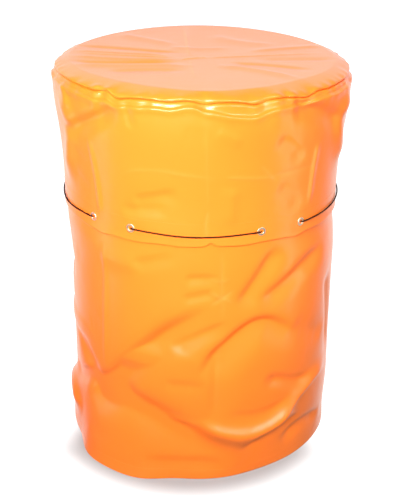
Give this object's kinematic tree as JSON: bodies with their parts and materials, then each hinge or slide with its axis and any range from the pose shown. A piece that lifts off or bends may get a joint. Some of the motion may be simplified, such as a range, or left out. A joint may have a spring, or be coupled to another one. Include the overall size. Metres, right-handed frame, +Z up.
{
  "type": "covered steel drum",
  "caption": "Closed-head steel drum under a two-piece coated-fabric cover: an open sleeve, and a cap drawn in by a laced elastic cord.",
  "frame": {"origin": "on the floor, under the middle of the drum", "axes": "+Z up along the drum's axis; -Y is the front, the side with the cord's long gap between two pairs of grommets; +X to the right of it"},
  "size_m": [0.6208, 0.6202, 0.8812],
  "materials": {
    "drum_enamel": "semi-gloss enamel on rolled steel",
    "plated_steel": "zinc plated",
    "gasket_rubber": "matt black rubber",
    "coated_cloth": "glossy orange vinyl-coated polyester cloth",
    "seam_tape": "orange welded vinyl tape",
    "elastic_cord": "dark brown braided sheath over an elastic core",
    "brass": "polished brass"
  },
  "bodies": {
    "drum": {"drum_shell": "drum_enamel", "drum_top_head": "drum_enamel", "drum_bottom_head": "drum_enamel", "large_bung_flange": "plated_steel", "vent_bung_flange": "plated_steel", "large_flange_gasket": "gasket_rubber", "vent_flange_gasket": "gasket_rubber"},
    "large_plug_seal": {"large_plug_gasket": "gasket_rubber"},
    "large_plug": {"large_bung_plug": "plated_steel"},
    "vent_plug_seal": {"vent_plug_gasket": "gasket_rubber"},
    "vent_plug": {"vent_bung_plug": "plated_steel"},
    "sleeve": {"sleeve_panel": "coated_cloth", "sleeve_bottom_hem": "coated_cloth", "sleeve_top_hem": "coated_cloth", "sleeve_seam_tape": "seam_tape"},
    "cap": {"cap_top_panel": "coated_cloth", "cap_skirt": "coated_cloth", "cap_hem_layer": "coated_cloth", "cap_seam_tape": "seam_tape", "grommet_1": "brass", "grommet_2": "brass", "grommet_3": "brass", "grommet_4": "brass", "grommet_5": "brass", "grommet_6": "brass", "grommet_7": "brass", "grommet_8": "brass", "grommet_9": "brass", "grommet_10": "brass", "grommet_washer_1": "brass", "grommet_washer_2": "brass", "grommet_washer_3": "brass", "grommet_washer_4": "brass", "grommet_washer_5": "brass", "grommet_washer_6": "brass", "grommet_washer_7": "brass", "grommet_washer_8": "brass", "grommet_washer_9": "brass", "grommet_washer_10": "brass", "draw_cord": "elastic_cord", "cord_knot": "elastic_cord"}
  },
  "joints": [
    {"name": "sleeve_lift", "type": "slide", "parent": "drum", "child": "sleeve", "axis": [0, 0, 1], "range_m": [0, 0.92]},
    {"name": "cap_lift", "type": "slide", "parent": "sleeve", "child": "cap", "axis": [0, 0, 1], "range_m": [0, 0.36]},
    {"name": "large_plug_rise", "type": "slide", "parent": "drum", "child": "large_plug_seal", "axis": [0, 0, 1], "range_m": [0, 0.0067]},
    {"name": "large_plug_turn", "type": "hinge", "parent": "large_plug_seal", "child": "large_plug", "pos_m": [0.222, 0, 0.869], "axis": [0, 0, 1], "range_deg": [0, 1080]},
    {"name": "vent_plug_rise", "type": "slide", "parent": "drum", "child": "vent_plug_seal", "axis": [0, 0, 1], "range_m": [0, 0.0055]},
    {"name": "vent_plug_turn", "type": "hinge", "parent": "vent_plug_seal", "child": "vent_plug", "pos_m": [-0.222, 0, 0.869], "axis": [0, 0, 1], "range_deg": [0, 1080]}
  ],
  "couplings": [
    {"joint": "large_plug_rise", "follows": "large_plug_turn", "m_per_rad": 0.00035152},
    {"joint": "vent_plug_rise", "follows": "vent_plug_turn", "m_per_rad": 0.00028875}
  ]
}
